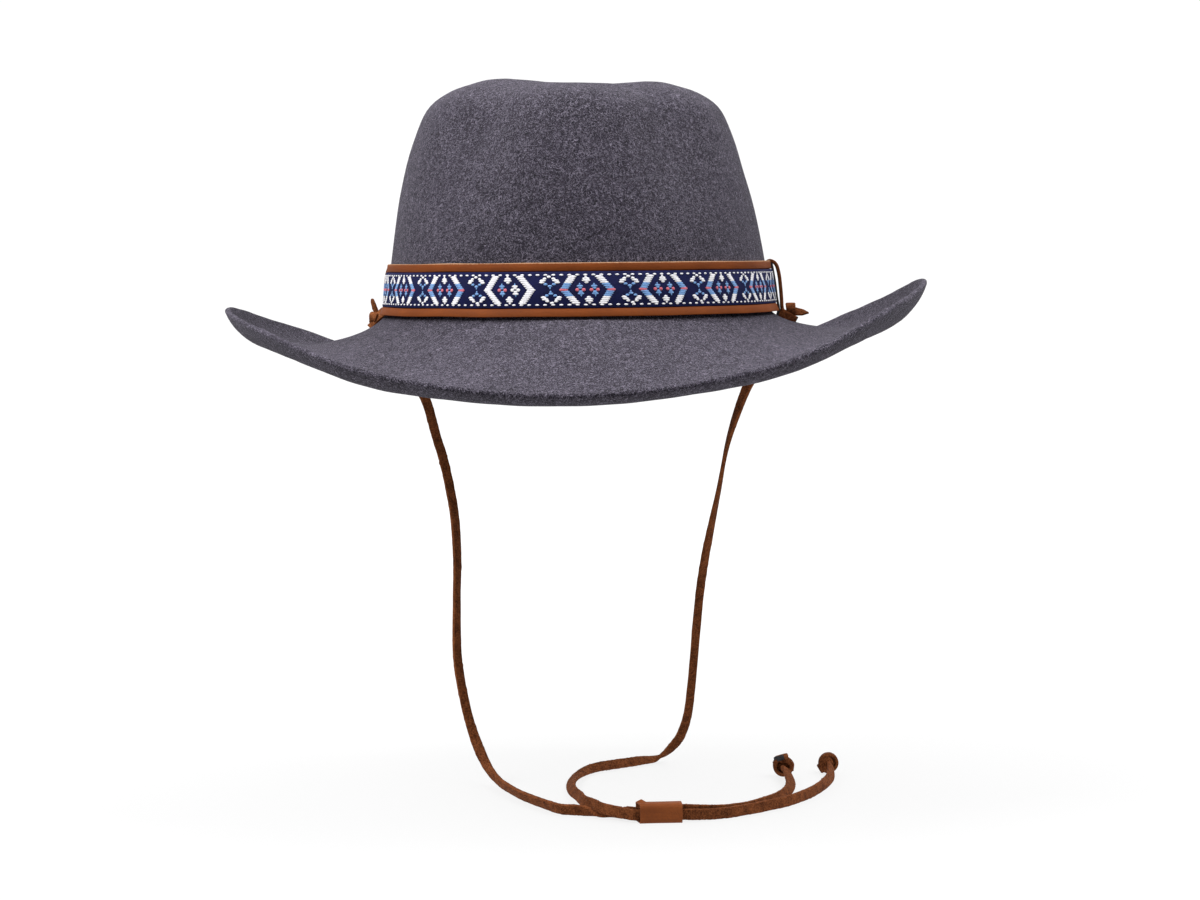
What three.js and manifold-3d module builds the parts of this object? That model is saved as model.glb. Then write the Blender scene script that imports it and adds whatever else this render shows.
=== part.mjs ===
// A felt hat with a leather band, a woven ribbon and a chin lace, in millimetres with +Z up.
// The front of the hat faces -Y and its right side, as seen from the front, is +X.
// The origin is the centre of the head opening, level with the lower edge of the leather band.

import * as THREE from "three";
import { mergeVertices } from "three/addons/utils/BufferGeometryUtils.js";
import Module from "manifold-3d";

const wasm = await Module();
wasm.setup();

// Driving dimensions of the felt
const feltWall = 2.4;
const crownHeight = 101;
const frontCrestDip = 3.5;
const backCrestDip = 1;
const crestTilt = 0.8;
const dentDepth = 26;
const dentBank = 0.66;
const brimPlan = { halfWidth: 151, front: 171, back: 169, shift: -0.9 };
const brimFoot = 0.1;
const rimNose = 0.8;

// The two hollows pinched into the front of the crown
const pinch = { depth: 8, angle: 37, spread: 19, foot: 24, head: 84 };

// Outer face of the crown, from its base up to the crest of the dent
const crownSections = [
  { height: 0, halfWidth: 84.8, front: 102.5, back: 102.5, shift: 0 },
  { height: 22, halfWidth: 82, front: 98.5, back: 99, shift: 0 },
  { height: 45, halfWidth: 78.2, front: 93, back: 95, shift: -0.6 },
  { height: 65, halfWidth: 73.4, front: 87, back: 90.5, shift: -1.2 },
  { height: 80, halfWidth: 68.4, front: 81, back: 85.5, shift: -1.2 },
  { height: 90, halfWidth: 63, front: 75.5, back: 80, shift: -1 },
  { height: 96, halfWidth: 54.2, front: 69, back: 73, shift: -0.8 },
  { height: 99.2, halfWidth: 45.2, front: 61, back: 66, shift: -0.6 },
  { height: 100.6, halfWidth: 39.5, front: 56, back: 61.5, shift: -0.5 },
  { height: 101, halfWidth: 34, front: 51, back: 57, shift: -0.4 },
];

// Section of the brim every 30 degrees, from the right side round by the back.
// The felt falls below the band, sags in a belly and ends at the rim, all heights from the band's edge.
// turn is how far out the belly lies, from 0 at the crown to 1 at the rim.
// lip is how much the outer fifth of the brim is rolled up.
const lipStart = 0.8;
const brimSections = [
  { angle: 0, fall: 9, belly: 19, turn: 0.8, rim: 13, lip: 0 },
  { angle: 30, fall: 9, belly: 20, turn: 0.8, rim: -1.5, lip: 3 },
  { angle: 60, fall: 6, belly: 24, turn: 0.7, rim: -25, lip: 6 },
  { angle: 90, fall: 3, belly: 20, turn: 0.6, rim: -29, lip: 8 },
  { angle: 120, fall: 6, belly: 26, turn: 0.7, rim: -27.5, lip: 6 },
  { angle: 150, fall: 10, belly: 26, turn: 0.8, rim: -7.5, lip: 3 },
  { angle: 180, fall: 14.5, belly: 25, turn: 0.8, rim: 3.4, lip: 0 },
  { angle: 210, fall: 12, belly: 23.5, turn: 0.8, rim: -3.2, lip: 2 },
  { angle: 240, fall: 8, belly: 32, turn: 0.75, rim: -20.5, lip: 5 },
  { angle: 270, fall: 3, belly: 24, turn: 0.6, rim: -27.6, lip: 8 },
  { angle: 300, fall: 7, belly: 29, turn: 0.75, rim: -18.5, lip: 4 },
  { angle: 330, fall: 9.5, belly: 20, turn: 0.8, rim: 4, lip: 2 },
];

// Leather band and woven ribbon
const touchGap = 0.3;
const band = { low: 0.3, high: 22, margin: 1.5, floor: 1 };
const ribbon = { low: 3.6, high: 18.4, thickness: 1 };

// Lace: a flat strip of leather, and how it is tied round the band and through the brim.
// A tie's knot and tail are given as distances out from the crown's foot and up from the band's edge.
const lace = { width: 4.6, thickness: 1.9, edge: 0.5 };
const looped = { thickness: 1.1, width: 4.4, foot: 2.8, innerFoot: 1.5 };
const bandBulge = { height: looped.thickness + 1.5 * touchGap, flat: 3, foot: 12 };
const laceTies = [
  { side: "right", angle: 357.2, along: 0.19, knot: [7.4, -1.7], tail: [11.8, -0.4], tailTurn: -9 },
  { side: "left", angle: 166, along: 0.19, knot: [8.3, -3.9], tail: [9.3, 1.8], tailTurn: 66 },
];
const laceHole = { radius: 3, depth: 6 * feltWall };

// The surface on which the lower end of the laces lies
const tableHeight = -211;

// Route of each lace from its hole in the brim to its end knot.
// turn is the angle by which the lace's flat side is twisted away from the front.
const rightRoute = [
  { x: 88.2, y: -4, z: -11.2, turn: 0 },
  { x: 84, y: -3, z: -17.5, turn: 0 },
  { x: 79, y: -1.5, z: -25, turn: 0 },
  { x: 74.4, y: 1, z: -33.2, turn: 5 },
  { x: 69.7, y: 4.6, z: -45.7, turn: 30 },
  { x: 65.5, y: 8.6, z: -60.4, turn: 68 },
  { x: 62, y: 15, z: -80.3, turn: 42 },
  { x: 59.4, y: 20, z: -94, turn: 25 },
  { x: 55.9, y: 25, z: -113, turn: 5 },
  { x: 53.5, y: 31, z: -131.8, turn: 0 },
  { x: 50.5, y: 43.5, z: -170.1, turn: 0 },
  { x: 48, y: 50, z: -187, turn: 0 },
  { x: 45.2, y: 55, z: -197.5, turn: 0 },
  { x: 40.5, y: 58.5, z: -205, turn: 10 },
  { x: 34, y: 57.5, z: -208.6, turn: 20 },
  { x: 17, y: 46, z: -208.6, turn: 0 },
  { x: 7.7, y: 39, z: -208.6, turn: 0 },
  { x: 1, y: 29.5, z: -208.6, turn: 0 },
  { x: -4, y: 15.5, z: -208.6, turn: 0 },
  { x: -6.6, y: 0, z: -208.6, turn: 0 },
  { x: -6.6, y: -17, z: -208.6, turn: 0 },
  { x: -3.6, y: -35, z: -208.6, turn: 0 },
  { x: 1.6, y: -49, z: -208.4, turn: 20 },
  { x: 6, y: -58.5, z: -207.6, turn: 80 },
  { x: 9.3, y: -66.5, z: -207.2, turn: 90 },
  { x: 12.2, y: -74, z: -207.2, turn: 85 },
  { x: 16.2, y: -80.4, z: -207.2, turn: 20 },
  { x: 21.5, y: -82.8, z: -207, turn: 0 },
  { x: 42.5, y: -82.8, z: -207, turn: 0 },
  { x: 50, y: -81.5, z: -208.6, turn: 0 },
  { x: 60, y: -77.5, z: -208.6, turn: 0 },
  { x: 70, y: -71.5, z: -208.6, turn: 0 },
  { x: 79, y: -63.3, z: -208.6, turn: 0 },
  { x: 88.2, y: -52, z: -208.6, turn: 0 },
  { x: 98.2, y: -35.2, z: -208.6, turn: 0 },
  { x: 109.4, y: -6, z: -208.6, turn: 0 },
  { x: 111.6, y: 9, z: -208.4, turn: 0 },
  { x: 112.2, y: 23.5, z: -207, turn: 0 },
];
const leftRoute = [
  { x: -85, y: 31, z: -13, turn: 0 },
  { x: -80.5, y: 30.3, z: -20.5, turn: 0 },
  { x: -75, y: 29.8, z: -29, turn: 0 },
  { x: -69.2, y: 29.5, z: -39.9, turn: 0 },
  { x: -65.2, y: 28.5, z: -54.3, turn: 0 },
  { x: -61.7, y: 27.5, z: -66.2, turn: 0 },
  { x: -59, y: 26.5, z: -78.5, turn: 0 },
  { x: -56.8, y: 25.5, z: -92.8, turn: 0 },
  { x: -55.9, y: 24.5, z: -111.4, turn: 0 },
  { x: -56.3, y: 23.5, z: -129.4, turn: 0 },
  { x: -56.4, y: 22.5, z: -152.1, turn: 0 },
  { x: -55, y: 21.5, z: -165.6, turn: 0 },
  { x: -51.8, y: 20, z: -181.5, turn: 0 },
  { x: -47.6, y: 17, z: -194.5, turn: 0 },
  { x: -42.5, y: 10, z: -204, turn: 0 },
  { x: -37.1, y: -1.5, z: -208.4, turn: 0 },
  { x: -32.2, y: -17, z: -208.6, turn: 0 },
  { x: -26.6, y: -32.6, z: -208.6, turn: 0 },
  { x: -18.6, y: -48.5, z: -208.6, turn: 0 },
  { x: -10, y: -60.5, z: -208.6, turn: 0 },
  { x: -3, y: -65.5, z: -209.2, turn: 45 },
  { x: 3.5, y: -68, z: -209.95, turn: 90 },
  { x: 9, y: -68.8, z: -209.95, turn: 90 },
  { x: 14.2, y: -70.2, z: -209.95, turn: 88 },
  { x: 18.2, y: -75, z: -208, turn: 20 },
  { x: 21.5, y: -80, z: -207, turn: 0 },
  { x: 42.5, y: -80, z: -207, turn: 0 },
  { x: 50, y: -78.4, z: -208.6, turn: 0 },
  { x: 60, y: -72.5, z: -208.6, turn: 0 },
  { x: 69, y: -65, z: -208.6, turn: 0 },
  { x: 77, y: -55, z: -208.6, turn: 0 },
  { x: 84.5, y: -42, z: -208.6, turn: 0 },
  { x: 89.5, y: -26, z: -208.6, turn: 0 },
  { x: 92, y: -8, z: -208.6, turn: 0 },
  { x: 91.6, y: 7, z: -208.2, turn: 0 },
  { x: 91.2, y: 14.5, z: -207, turn: 0 },
];

// Slide on the two laces, and the knots
const slide = { x: 32, y: -81.4, length: 18, depth: 8.2, height: 8.2, wall: 1.4 };
const slideCorner = { outer: 1.2, inner: 0.4 };
const tieKnot = { length: 9, thickness: 5, depth: 6.4, slope: -46 };
const tieLobe = { size: 4.2, out: 0.6, up: 2.5 };
const tieTail = { length: 8, width: 3, tip: 0.8 };
const endKnots = [
  { name: "end_knot_right", x: 112.3, y: 28.4, width: 9.6, depth: 8.8, height: 8.8 },
  { name: "end_knot_left", x: 91.2, y: 20, width: 9.2, depth: 9.6, height: 9.6 },
];

// Mesh resolution
const columns = 64;
const dentRows = 5;
const brimRows = 9;
const crownPlaces = [9, 8.2, 7.5, 7, 6.5, 6, 5.5, 5, 4.5, 4, 3, 2, 1, 0];

const radians = THREE.MathUtils.degToRad;

// Smooth curve through the rows of a table, read column by column
function blendFour(before, start, end, after, t) {
  const slope = end - before;
  const bend = 2 * before - 5 * start + 4 * end - after;
  const twist = 3 * start - before - 3 * end + after;
  return (2 * start + slope * t + bend * t * t + twist * t ** 3) / 2;
}

function readTable(rows, place, closed) {
  const last = rows.length - 1;
  const first = closed ? Math.floor(place) : Math.min(Math.floor(place), last - 1);
  const t = place - first;
  const rowAt = (index) => {
    const wrapped = closed ? (index + rows.length) % rows.length : Math.min(Math.max(index, 0), last);
    return rows[wrapped];
  };
  const row = {};
  for (const column of Object.keys(rows[0])) {
    const [before, start, end, after] = [-1, 0, 1, 2].map((step) => rowAt(first + step)[column]);
    row[column] = blendFour(before, start, end, after, t);
  }
  return row;
}

function smooth(value) {
  const t = Math.min(Math.max(value, 0), 1);
  return t * t * (3 - 2 * t);
}

function ovalPoint(angle, halfWidth, front, back, shift) {
  const reach = Math.sin(angle) < 0 ? front : back;
  return new THREE.Vector2(halfWidth * Math.cos(angle) + shift, reach * Math.sin(angle));
}

function degreesFrom(angle, degrees) {
  const away = THREE.MathUtils.radToDeg(angle) - degrees;
  return ((away % 360) + 540) % 360 - 180;
}

// The crest of the dent is lowest at the front, and a little lower on the right than on the left
function crestDip(angle) {
  const along = Math.sin(angle);
  return (along < 0 ? frontCrestDip : backCrestDip) * along * along + crestTilt * Math.cos(angle);
}

function pinchPush(angle, height) {
  const away = (Math.abs(degreesFrom(angle, 270)) - pinch.angle) / pinch.spread;
  const rise = smooth((height - pinch.foot) / (pinch.head - pinch.foot));
  return pinch.depth * Math.exp(-away * away) * rise;
}

function crownPoint(angle, place) {
  const row = readTable(crownSections, place, false);
  const plan = ovalPoint(angle, row.halfWidth, row.front, row.back, row.shift);
  plan.multiplyScalar(1 - pinchPush(angle, row.height) / plan.length());
  const height = row.height - crestDip(angle) * (row.height / crownHeight) ** 2;
  return new THREE.Vector3(plan.x, plan.y, height);
}

// inward runs from 0 at the crest to 1 at the middle of the dent
function dentPoint(angle, inward) {
  const crest = crownPoint(angle, crownSections.length - 1);
  const dip = crestDip(angle) * (1 - inward);
  const height = crownHeight - dip - dentDepth * smooth(inward / dentBank);
  return new THREE.Vector3(crest.x * (1 - inward), crest.y * (1 - inward), height);
}

// along runs from 0 at the crown's base to 1 at the rim
function brimPoint(angle, along) {
  const row = readTable(brimSections, THREE.MathUtils.radToDeg(angle) / 30, true);
  const section = new THREE.CubicBezierCurve(
    new THREE.Vector2(0, 0),
    new THREE.Vector2(brimFoot, -row.fall),
    new THREE.Vector2(row.turn, -row.belly),
    new THREE.Vector2(1, row.rim - row.lip),
  ).getPoint(along);
  const rolled = Math.max(0, (section.x - lipStart) / (1 - lipStart));
  const base = crownPoint(angle, 0);
  const rim = ovalPoint(angle, brimPlan.halfWidth, brimPlan.front, brimPlan.back, brimPlan.shift);
  return new THREE.Vector3(
    base.x + (rim.x - base.x) * section.x,
    base.y + (rim.y - base.y) * section.x,
    section.y + row.lip * rolled * rolled,
  );
}

// One outer surface: down is 0 to 1 over the dent, 1 to 2 over the crown, 2 to 3 over the brim
function outerPoint(angle, down) {
  const turned = ((angle % (2 * Math.PI)) + 2 * Math.PI) % (2 * Math.PI);
  if (down < 1) return dentPoint(turned, 1 - down);
  if (down < 2) return crownPoint(turned, (2 - down) * (crownSections.length - 1));
  return brimPoint(turned, Math.min(down - 2, 1));
}

function outerNormal(angle, down) {
  const small = 0.002;
  const low = Math.max(down - small, small);
  const high = Math.min(down + small, 3);
  const across = outerPoint(angle + small, down).sub(outerPoint(angle - small, down));
  const downward = outerPoint(angle, high).sub(outerPoint(angle, low));
  return downward.cross(across).normalize();
}

// Mesh building from rings of points, with a pole at each end or closed on itself
function meshFromRings(rings, poles) {
  const points = [...rings.flat(), ...poles];
  const size = rings[0].length;
  const faces = [];
  const bandsOfRings = poles.length ? rings.length - 1 : rings.length;
  for (let r = 0; r < bandsOfRings; r += 1) {
    const here = r * size;
    const next = ((r + 1) % rings.length) * size;
    for (let c = 0; c < size; c += 1) {
      const d = (c + 1) % size;
      faces.push(here + c, next + c, next + d);
      faces.push(here + c, next + d, here + d);
    }
  }
  if (poles.length) {
    const firstPole = rings.length * size;
    const lastRing = (rings.length - 1) * size;
    for (let c = 0; c < size; c += 1) {
      const d = (c + 1) % size;
      faces.push(firstPole, c, d);
      faces.push(firstPole + 1, lastRing + d, lastRing + c);
    }
  }
  const geometry = new THREE.BufferGeometry();
  const flat = points.flatMap((point) => [point.x, point.y, point.z]);
  geometry.setAttribute("position", new THREE.Float32BufferAttribute(flat, 3));
  geometry.setIndex(faces);
  return geometry;
}

function toSolid(geometry) {
  const bare = geometry.clone();
  bare.deleteAttribute("normal");
  bare.deleteAttribute("uv");
  const merged = mergeVertices(bare, 1e-4);
  const vertProperties = new Float32Array(merged.attributes.position.array);
  const triVerts = new Uint32Array(merged.index.array);
  return new wasm.Manifold(new wasm.Mesh({ numProp: 3, vertProperties, triVerts }));
}

function fromSolid(solid) {
  const mesh = solid.getMesh();
  const geometry = new THREE.BufferGeometry();
  geometry.setAttribute("position", new THREE.Float32BufferAttribute(mesh.vertProperties, 3));
  geometry.setIndex(Array.from(mesh.triVerts));
  return geometry;
}

// Felt: outer face, rounded rim, and the inner face one wall thickness below it
const feltRows = [];
for (let r = 1; r <= dentRows; r += 1) feltRows.push(r / (dentRows + 1));
for (const place of crownPlaces) feltRows.push(2 - place / (crownSections.length - 1));
for (let r = 1; r <= brimRows; r += 1) feltRows.push(2 + r / brimRows);

function feltRing(down, depth) {
  const ring = [];
  for (let c = 0; c < columns; c += 1) {
    const angle = (2 * Math.PI * c) / columns;
    ring.push(outerPoint(angle, down).addScaledVector(outerNormal(angle, down), -depth));
  }
  return ring;
}

function rimRing() {
  const ring = feltRing(3, feltWall / 2);
  const inner = feltRing(2.98, feltWall / 2);
  return ring.map((point, c) => {
    const outward = point.clone().sub(inner[c]).normalize();
    return point.clone().addScaledVector(outward, rimNose);
  });
}

function makeFelt() {
  const outer = feltRows.map((down) => feltRing(down, 0));
  const inner = feltRows.map((down) => feltRing(down, feltWall)).reverse();
  const middle = crownHeight - dentDepth;
  const poles = [new THREE.Vector3(0, 0, middle), new THREE.Vector3(0, 0, middle - feltWall)];
  let solid = toSolid(meshFromRings([...outer, rimRing(), ...inner], poles));
  for (const tie of laceTies) {
    const drill = new THREE.CylinderGeometry(laceHole.radius, laceHole.radius, laceHole.depth, 16);
    const outward = outerNormal(radians(tie.angle), 2 + tie.along);
    drill.applyQuaternion(new THREE.Quaternion().setFromUnitVectors(new THREE.Vector3(0, 1, 0), outward));
    const place = outerPoint(radians(tie.angle), 2 + tie.along);
    drill.translate(place.x, place.y, place.z);
    solid = solid.subtract(toSolid(drill));
  }
  return fromSolid(solid);
}

// A point beside the straight lower wall of the crown, which the band follows
function besideWall(angle, height, offset) {
  const foot = crownPoint(angle, 0);
  const top = crownPoint(angle, 1);
  const wall = foot.clone().lerp(top, height / top.z);
  const small = 0.01;
  const along = crownPoint(angle + small, 0).sub(crownPoint(angle - small, 0));
  const outward = new THREE.Vector3(along.y, -along.x, 0).normalize();
  return wall.addScaledVector(outward, offset);
}

// The band stands out where the lace runs behind it
function bulgeAt(angle) {
  let bulge = 0;
  for (const tie of laceTies) {
    const away = Math.abs(degreesFrom(angle, tie.angle));
    const fade = smooth((bandBulge.foot - away) / (bandBulge.foot - bandBulge.flat));
    bulge = Math.max(bulge, bandBulge.height * fade);
  }
  return bulge;
}

// A closed ring round the crown, its section given as corners up the outer face and down again
function makeRing(corners) {
  const rings = corners.map((corner) => {
    const ring = [];
    for (let c = 0; c < columns; c += 1) {
      const angle = (2 * Math.PI * c) / columns;
      ring.push(besideWall(angle, corner.height, corner.offset + bulgeAt(angle)));
    }
    return ring.reverse();
  });
  return meshFromRings(rings, []);
}

const ribbonInside = touchGap + band.floor + touchGap;

// The leather is thinner where the ribbon lies in it
function makeBand() {
  return makeRing([
    { height: band.low, offset: touchGap },
    { height: band.low, offset: touchGap + band.margin },
    { height: ribbon.low - touchGap, offset: touchGap + band.margin },
    { height: ribbon.low - touchGap, offset: touchGap + band.floor },
    { height: ribbon.high + touchGap, offset: touchGap + band.floor },
    { height: ribbon.high + touchGap, offset: touchGap + band.margin },
    { height: band.high, offset: touchGap + band.margin },
    { height: band.high, offset: touchGap },
  ]);
}

function makeRibbon() {
  return makeRing([
    { height: ribbon.low, offset: ribbonInside },
    { height: ribbon.low, offset: ribbonInside + ribbon.thickness },
    { height: ribbon.high, offset: ribbonInside + ribbon.thickness },
    { height: ribbon.high, offset: ribbonInside },
  ]);
}

// Frame at a tie: outward from the crown wall, forward along it, and up
function tieFrame(tie) {
  const angle = radians(tie.angle);
  const foot = besideWall(angle, 0, 0);
  const outward = besideWall(angle, 0, 1).sub(foot);
  const up = new THREE.Vector3(0, 0, 1);
  const sideways = new THREE.Vector3().crossVectors(outward, up);
  return new THREE.Matrix4().makeBasis(outward, up, sideways).setPosition(foot);
}

// The lace goes up behind the band, over its top edge and down its outer face to the knot
function makeLoop(tie) {
  const angle = radians(tie.angle);
  const foot = besideWall(angle, 0, 0);
  const lean = (height) => -foot.distanceTo(besideWall(angle, height, 0).setZ(0));
  const strip = looped.thickness;
  const overBand = bandBulge.height + touchGap + band.margin + touchGap;
  const overRibbon = bandBulge.height + ribbonInside + ribbon.thickness + touchGap;
  const top = band.high + touchGap;
  const outerLeg = [
    { height: top, offset: overBand },
    { height: ribbon.high + touchGap, offset: overRibbon },
    { height: looped.foot, offset: overRibbon },
  ];
  const loop = new THREE.Shape();
  loop.moveTo(lean(looped.innerFoot) + touchGap, looped.innerFoot);
  loop.lineTo(lean(looped.innerFoot) + touchGap + strip, looped.innerFoot);
  loop.lineTo(lean(top) + touchGap + strip, top);
  for (const point of outerLeg) loop.lineTo(lean(point.height) + point.offset, point.height);
  for (const point of outerLeg.reverse()) {
    loop.lineTo(lean(point.height) + point.offset + strip, point.height);
  }
  loop.lineTo(lean(top) + overBand, top + strip);
  loop.lineTo(lean(top) + touchGap + strip, top + strip);
  loop.lineTo(lean(top) + touchGap, top);
  const geometry = new THREE.ExtrudeGeometry(loop, { depth: looped.width, bevelEnabled: false });
  geometry.translate(0, 0, -looped.width / 2);
  return geometry.applyMatrix4(tieFrame(tie));
}

// Knot of the lace on the brim: a wound body along the slope, a lobe above it and a cut tail
function makeTieKnot(tie) {
  const body = new THREE.SphereGeometry(0.5, 12, 8);
  body.scale(tieKnot.length, tieKnot.thickness, tieKnot.depth);
  body.rotateZ(radians(tieKnot.slope));
  const [out, up] = tie.knot;
  body.translate(out, up, 0);
  const lobe = new THREE.SphereGeometry(tieLobe.size / 2, 10, 6);
  lobe.translate(out + tieLobe.out, up + tieLobe.up, 0);
  const tail = new THREE.CylinderGeometry(tieTail.tip / 2, tieTail.width / 2, tieTail.length, 6);
  tail.rotateZ(radians(tie.tailTurn - 90));
  tail.translate(...tie.tail, 0);
  const solid = toSolid(body).add(toSolid(lobe)).add(toSolid(tail));
  return fromSolid(solid).applyMatrix4(tieFrame(tie));
}

// A path whose points are the rows of a route, with the lace's flat side turned as the rows say
class LacePath extends THREE.Curve {
  constructor(rows) {
    super();
    this.rows = rows;
    this.stops = rows.map((row) => new THREE.Vector3(row.x, row.y, row.z));
  }

  getPoint(t) {
    return this.stops[Math.round(t * (this.stops.length - 1))].clone();
  }

  getSpacedPoints() {
    return this.stops;
  }

  computeFrenetFrames() {
    const facing = new THREE.Vector3(0, -1, 0);
    const frames = { tangents: [], normals: [], binormals: [] };
    this.stops.forEach((stop, s) => {
      const before = this.stops[Math.max(s - 1, 0)];
      const after = this.stops[Math.min(s + 1, this.stops.length - 1)];
      const tangent = after.clone().sub(before).normalize();
      const flat = facing.clone().addScaledVector(tangent, -facing.dot(tangent)).normalize();
      flat.applyAxisAngle(tangent, radians(this.rows[s].turn));
      frames.tangents.push(tangent);
      frames.normals.push(flat);
      frames.binormals.push(new THREE.Vector3().crossVectors(tangent, flat));
    });
    return frames;
  }
}

function makeLace(tie, route) {
  const outward = outerNormal(radians(tie.angle), 2 + tie.along);
  const start = outerPoint(radians(tie.angle), 2 + tie.along).addScaledVector(outward, -touchGap);
  const through = start.clone().addScaledVector(outward, -1.5 * feltWall);
  const rows = [
    { x: start.x, y: start.y, z: start.z, turn: 0 },
    { x: through.x, y: through.y, z: through.z, turn: 0 },
    ...route,
  ];
  const section = new THREE.Shape();
  const halfThick = lace.thickness / 2;
  const halfWide = lace.width / 2;
  section.moveTo(-halfThick, -halfWide + lace.edge);
  section.lineTo(-halfThick + lace.edge, -halfWide);
  section.lineTo(halfThick - lace.edge, -halfWide);
  section.lineTo(halfThick, -halfWide + lace.edge);
  section.lineTo(halfThick, halfWide - lace.edge);
  section.lineTo(halfThick - lace.edge, halfWide);
  section.lineTo(-halfThick + lace.edge, halfWide);
  section.lineTo(-halfThick, halfWide - lace.edge);
  return new THREE.ExtrudeGeometry(section, {
    steps: rows.length - 1,
    bevelEnabled: false,
    extrudePath: new LacePath(rows),
  });
}

// Slide: a strip of leather folded round both laces
function makeSlide() {
  const outline = (depth, height, corner) => {
    const path = new THREE.Shape();
    const halfDepth = depth / 2;
    const halfHeight = height / 2;
    path.moveTo(-halfDepth + corner, -halfHeight);
    path.lineTo(halfDepth - corner, -halfHeight);
    path.lineTo(halfDepth, -halfHeight + corner);
    path.lineTo(halfDepth, halfHeight - corner);
    path.lineTo(halfDepth - corner, halfHeight);
    path.lineTo(-halfDepth + corner, halfHeight);
    path.lineTo(-halfDepth, halfHeight - corner);
    path.lineTo(-halfDepth, -halfHeight + corner);
    return path;
  };
  const section = outline(slide.depth, slide.height, slideCorner.outer);
  const innerDepth = slide.depth - 2 * slide.wall;
  const innerHeight = slide.height - 2 * slide.wall;
  section.holes.push(outline(innerDepth, innerHeight, slideCorner.inner));
  const geometry = new THREE.ExtrudeGeometry(section, { depth: slide.length, bevelEnabled: false });
  geometry.translate(0, 0, -slide.length / 2);
  geometry.rotateX(Math.PI / 2);
  geometry.rotateZ(Math.PI / 2);
  geometry.translate(slide.x, slide.y, tableHeight + slide.height / 2);
  return geometry;
}

function makeEndKnot(knot) {
  const geometry = new THREE.SphereGeometry(0.5, 14, 10);
  geometry.scale(knot.width, knot.depth, knot.height);
  geometry.translate(knot.x, knot.y, tableHeight + knot.height / 2);
  return geometry;
}

// The hat
const hat = new THREE.Group();

function addPiece(name, geometry, finish) {
  const piece = new THREE.Mesh(geometry, new THREE.MeshStandardMaterial(finish));
  piece.name = name;
  hat.add(piece);
}

const feltFinish = { color: 0x5d5a66, roughness: 0.95, metalness: 0 };
const bandFinish = { color: 0x8a5230, roughness: 0.6, metalness: 0 };
const ribbonFinish = { color: 0x2c3068, roughness: 0.55, metalness: 0 };
const laceFinish = { color: 0x6b3a20, roughness: 0.85, metalness: 0 };

addPiece("felt_body", makeFelt(), feltFinish);
addPiece("leather_band", makeBand(), bandFinish);
addPiece("woven_ribbon", makeRibbon(), ribbonFinish);
for (const tie of laceTies) {
  const route = tie.side === "right" ? rightRoute : leftRoute;
  addPiece(`lace_loop_${tie.side}`, makeLoop(tie), laceFinish);
  addPiece(`lace_knot_${tie.side}`, makeTieKnot(tie), laceFinish);
  addPiece(`chin_lace_${tie.side}`, makeLace(tie, route), laceFinish);
}
addPiece("cord_slide", makeSlide(), bandFinish);
for (const knot of endKnots) addPiece(knot.name, makeEndKnot(knot), laceFinish);

export default hat;
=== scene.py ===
import math

import bmesh
import bpy
from mathutils import Matrix, Vector, noise


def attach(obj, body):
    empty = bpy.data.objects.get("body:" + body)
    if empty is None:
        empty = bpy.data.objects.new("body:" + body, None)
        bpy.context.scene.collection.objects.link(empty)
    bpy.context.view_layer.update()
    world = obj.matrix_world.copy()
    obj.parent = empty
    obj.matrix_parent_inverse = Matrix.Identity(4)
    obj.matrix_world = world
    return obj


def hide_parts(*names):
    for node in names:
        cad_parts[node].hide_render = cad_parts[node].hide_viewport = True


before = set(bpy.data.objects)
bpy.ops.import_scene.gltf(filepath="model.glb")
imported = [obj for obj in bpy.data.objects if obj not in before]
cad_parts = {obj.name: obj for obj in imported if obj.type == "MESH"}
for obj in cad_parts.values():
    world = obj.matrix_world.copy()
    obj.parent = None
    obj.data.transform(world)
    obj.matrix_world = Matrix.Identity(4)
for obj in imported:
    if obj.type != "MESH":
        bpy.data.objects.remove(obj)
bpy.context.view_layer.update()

# Camera
# It stands in front of the hat, level with the top of the band, and looks a little down and to the right
# through a long lens. It is tipped by half a degree.
lens = bpy.data.cameras.new("view")
lens.lens = 85
lens.sensor_width = 36
lens.clip_start = 0.05
lens.clip_end = 30
camera = bpy.data.objects.new("view", lens)
bpy.context.scene.collection.objects.link(camera)
bpy.context.scene.camera = camera
camera_place = (0, -1.25, 0.022)
right_turn = Matrix.Rotation(math.radians(-0.408), 4, "Z")
down_tilt = Matrix.Rotation(math.radians(-3.79), 4, "X")
roll = Matrix.Rotation(math.radians(0.55), 4, "Y")
level_view = Matrix.Rotation(math.radians(90), 4, "X")
camera.matrix_world = Matrix.Translation(camera_place) @ right_turn @ down_tilt @ roll @ level_view

# Chin laces
# Two flat strips of suede, each tied off above the brim, that hang through a small hole in it.
# Both run through the slide and end in a stopper knot; their lower parts lie on the table.
MM = 0.001


def curve_between(before, start, end, after, t):
    """Smooth blend from start to end, for numbers and for vectors."""
    slope = end - before
    bend = 2 * before - 5 * start + 4 * end - after
    twist = 3 * start - before - 3 * end + after
    return (2 * start + slope * t + bend * t * t + twist * t ** 3) / 2


def along_stops(stops, place, closed=False):
    """Value of a smooth curve through stops, with place counted in stops."""
    last = len(stops) - 1
    first = math.floor(place) if closed else min(math.floor(place), last - 1)
    near = [(first + k) % (last + 1) if closed else min(max(first + k, 0), last) for k in (-1, 0, 1, 2)]
    return curve_between(*(stops[k] for k in near), place - first)


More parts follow.
